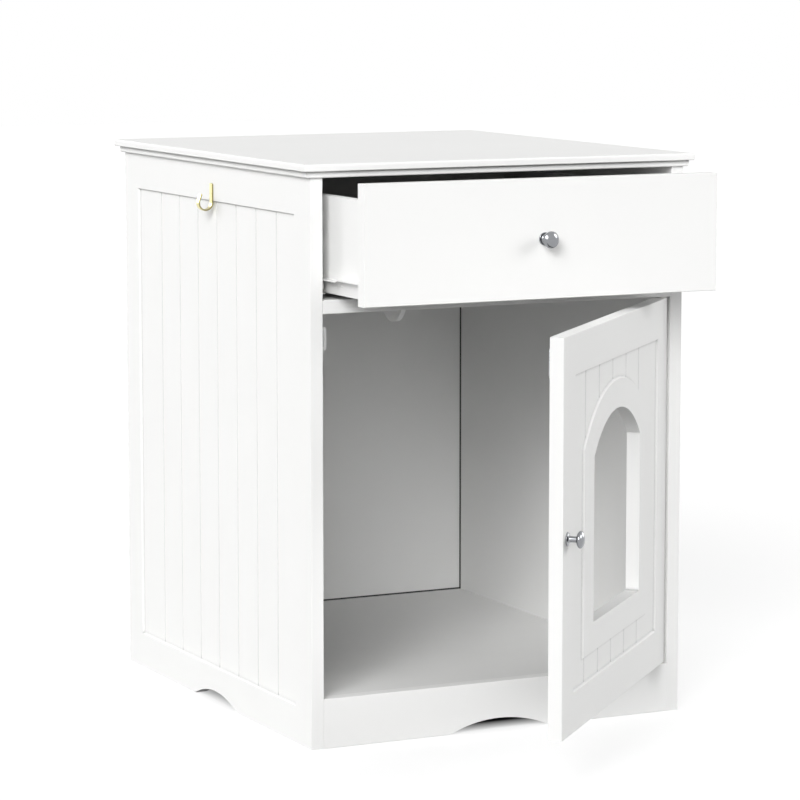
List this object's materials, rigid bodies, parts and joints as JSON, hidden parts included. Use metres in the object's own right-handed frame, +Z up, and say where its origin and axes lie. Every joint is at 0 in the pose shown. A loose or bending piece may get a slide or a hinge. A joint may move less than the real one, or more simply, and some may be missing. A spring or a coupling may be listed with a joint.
{
  "type": "litter box enclosure",
  "caption": "White cabinet that hides a litter box, with a drawer, a cat-arch door and a brass side hook.",
  "frame": {"origin": "on the floor, at the middle of the back panel's bottom edge", "axes": "+Z up, -Y out of the front, +X to the right as seen from the front"},
  "size_m": [0.488, 0.8418, 0.636],
  "materials": {
    "white_lacquered_board": "satin white lacquer on fibreboard",
    "white_hardboard": "satin white film on thin fibreboard",
    "polished_chrome": "polished",
    "brass": "satin",
    "white_epoxy_steel": "white epoxy powder coat",
    "white_nylon": "moulded",
    "zinc_cast": "die cast zinc",
    "bright_steel": "bright zinc plated",
    "beech": "turned, bare",
    "white_abs": "moulded",
    "ferrite": "pressed ferrite"
  },
  "bodies": {
    "cabinet": {"left_side_panel": "white_lacquered_board", "right_side_panel": "white_lacquered_board", "back_panel": "white_hardboard", "bottom_panel": "white_lacquered_board", "middle_panel": "white_lacquered_board", "front_apron": "white_lacquered_board", "top_board": "white_lacquered_board", "cabinet_cam_locks": "zinc_cast", "cabinet_cam_bolts": "bright_steel", "cabinet_dowels": "beech", "side_hook": "brass", "hook_screw": "bright_steel", "door_stop": "white_lacquered_board", "door_stop_screws": "bright_steel", "catch_case": "white_abs", "catch_magnet": "ferrite", "catch_pole_plates": "bright_steel", "catch_screw": "bright_steel", "upper_pivot_bush": "white_nylon", "lower_pivot_bush": "white_nylon", "left_slide_channel": "white_epoxy_steel", "right_slide_channel": "white_epoxy_steel", "channel_screws": "bright_steel", "front_left_roller_axle": "bright_steel", "front_right_roller_axle": "bright_steel"},
    "drawer": {"drawer_front": "white_lacquered_board", "drawer_left_side": "white_lacquered_board", "drawer_right_side": "white_lacquered_board", "drawer_back": "white_lacquered_board", "drawer_bottom": "white_hardboard", "drawer_knob": "polished_chrome", "drawer_knob_screw": "bright_steel", "drawer_cam_locks": "zinc_cast", "drawer_cam_bolts": "bright_steel", "drawer_back_screws": "bright_steel", "left_drawer_runner": "white_epoxy_steel", "right_drawer_runner": "white_epoxy_steel", "drawer_runner_screws": "bright_steel", "rear_left_roller_axle": "bright_steel", "rear_right_roller_axle": "bright_steel"},
    "door": {"door_panel": "white_lacquered_board", "upper_pivot_pin": "bright_steel", "lower_pivot_pin": "bright_steel", "door_knob": "polished_chrome", "door_knob_screw": "bright_steel", "strike_plate": "bright_steel", "strike_screw": "bright_steel"},
    "front_left_roller": {"front_left_roller": "white_nylon"},
    "front_right_roller": {"front_right_roller": "white_nylon"},
    "rear_left_roller": {"rear_left_roller": "white_nylon"},
    "rear_right_roller": {"rear_right_roller": "white_nylon"}
  },
  "joints": [
    {"name": "drawer_slide", "type": "slide", "parent": "cabinet", "child": "drawer", "axis": [0, -1, 0], "range_m": [-0.1, 0.235]},
    {"name": "door_swing", "type": "hinge", "parent": "cabinet", "child": "door", "pos_m": [0.207, -0.513, 0.265], "axis": [0, 0, 1], "range_deg": [-45.3, 54.7]},
    {"name": "front_left_roller_spin", "type": "hinge", "parent": "cabinet", "child": "front_left_roller", "pos_m": [-0.20935, -0.496, 0.50365], "axis": [1, 0, 0], "range_deg": [-821, 1926]},
    {"name": "front_right_roller_spin", "type": "hinge", "parent": "cabinet", "child": "front_right_roller", "pos_m": [0.20935, -0.496, 0.50365], "axis": [1, 0, 0], "range_deg": [-821, 1926]},
    {"name": "rear_left_roller_spin", "type": "hinge", "parent": "drawer", "child": "rear_left_roller", "pos_m": [-0.20815, -0.1575, 0.50335], "axis": [1, 0, 0], "range_deg": [-821, 1926]},
    {"name": "rear_right_roller_spin", "type": "hinge", "parent": "drawer", "child": "rear_right_roller", "pos_m": [0.20815, -0.1575, 0.50335], "axis": [1, 0, 0], "range_deg": [-821, 1926]}
  ],
  "couplings": [
    {"joint": "front_left_roller_spin", "follows": "drawer_slide", "rad_per_m": 142.86},
    {"joint": "front_right_roller_spin", "follows": "drawer_slide", "rad_per_m": 142.86},
    {"joint": "rear_left_roller_spin", "follows": "drawer_slide", "rad_per_m": 142.86},
    {"joint": "rear_right_roller_spin", "follows": "drawer_slide", "rad_per_m": 142.86}
  ]
}
